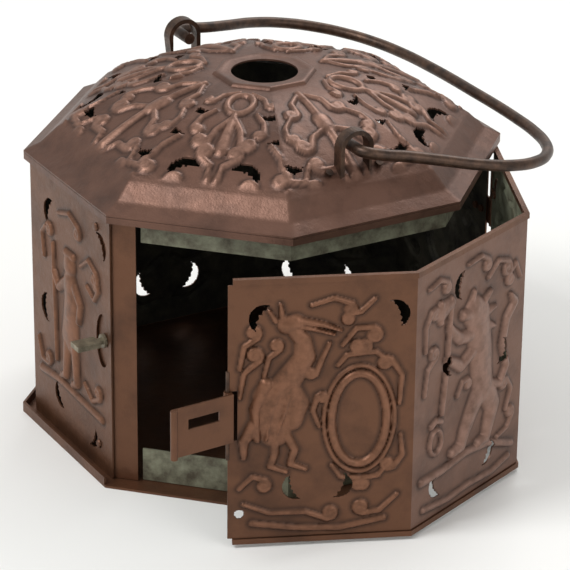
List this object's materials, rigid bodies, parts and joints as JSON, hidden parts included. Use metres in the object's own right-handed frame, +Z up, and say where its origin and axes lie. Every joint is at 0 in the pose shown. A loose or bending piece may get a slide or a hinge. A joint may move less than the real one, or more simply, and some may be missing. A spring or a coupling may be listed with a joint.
{
  "type": "foot warmer",
  "caption": "Eight-sided sheet-copper foot warmer with a pierced domed lid, a wide hinged door closed by a hasp and turn-button, an ember pan and a folding wire bail.",
  "frame": {"origin": "centre of the base plate's underside, which is the face that the foot warmer rests on", "axes": "+Z up through the lid's centre hole; -Y towards the front side that the shut door covers; the hinge is at the corner 22.5 degrees from +X"},
  "size_m": [0.2489, 0.3139, 0.1756],
  "materials": {
    "copper": "embossed sheet copper with a brown patina",
    "lid_copper": "embossed sheet copper with a dull brown patina",
    "verdigris_copper": "sheet copper with a dull grey-green verdigris",
    "dark_wire": "dark brown forged wire",
    "pale_metal": "pale grey-green brass",
    "iron": "sooty sheet iron"
  },
  "bodies": {
    "body": {"base_plate": "copper", "base_sill": "verdigris_copper", "top_band": "verdigris_copper", "wall_sheet": "copper", "front_jamb": "verdigris_copper", "jamb_rivet_1": "copper", "jamb_rivet_2": "copper", "jamb_rivet_3": "copper", "lid": "lid_copper", "lid_rim": "lid_copper", "front_bail_loop": "dark_wire", "rear_bail_loop": "dark_wire", "front_loop_rivet_1": "dark_wire", "front_loop_rivet_2": "dark_wire", "rear_loop_rivet_1": "dark_wire", "rear_loop_rivet_2": "dark_wire", "ember_pan": "iron", "lower_wall_knuckle": "copper", "upper_wall_knuckle": "copper", "lower_hinge_pin": "dark_wire", "upper_hinge_pin": "dark_wire", "wall_hinge_rivet_1": "copper", "wall_hinge_rivet_2": "copper", "wall_hinge_rivet_3": "copper", "wall_hinge_rivet_4": "copper", "turn_button_washer": "pale_metal"},
    "door": {"door_sheet": "copper", "door_top_hem": "copper", "door_bottom_hem": "copper", "lower_door_knuckle": "copper", "upper_door_knuckle": "copper", "door_hinge_rivet_1": "copper", "door_hinge_rivet_2": "copper", "door_hinge_rivet_3": "copper", "door_hinge_rivet_4": "copper", "hasp_pin": "dark_wire"},
    "hasp": {"hasp": "copper"},
    "turn_button": {"turn_button": "pale_metal"},
    "bail": {"bail": "dark_wire"}
  },
  "joints": [
    {"name": "door_swing", "type": "hinge", "parent": "body", "child": "door", "pos_m": [0.10462, 0.04333, 0.07], "axis": [0, 0, 1], "range_deg": [-22.5, 100]},
    {"name": "hasp_swing", "type": "hinge", "parent": "door", "child": "hasp", "pos_m": [0.02596, -0.14782, 0.067], "axis": [0, 0, 1], "range_deg": [-70, 70]},
    {"name": "turn_button_turn", "type": "hinge", "parent": "body", "child": "turn_button", "pos_m": [-0.04997, -0.0965, 0.07], "axis": [-0.7071, -0.7071, 0], "range_deg": [0, 90]},
    {"name": "bail_swing", "type": "hinge", "parent": "body", "child": "bail", "pos_m": [0, 0, 0.166], "axis": [0.7071, -0.7071, 0], "range_deg": [0, 158]}
  ]
}
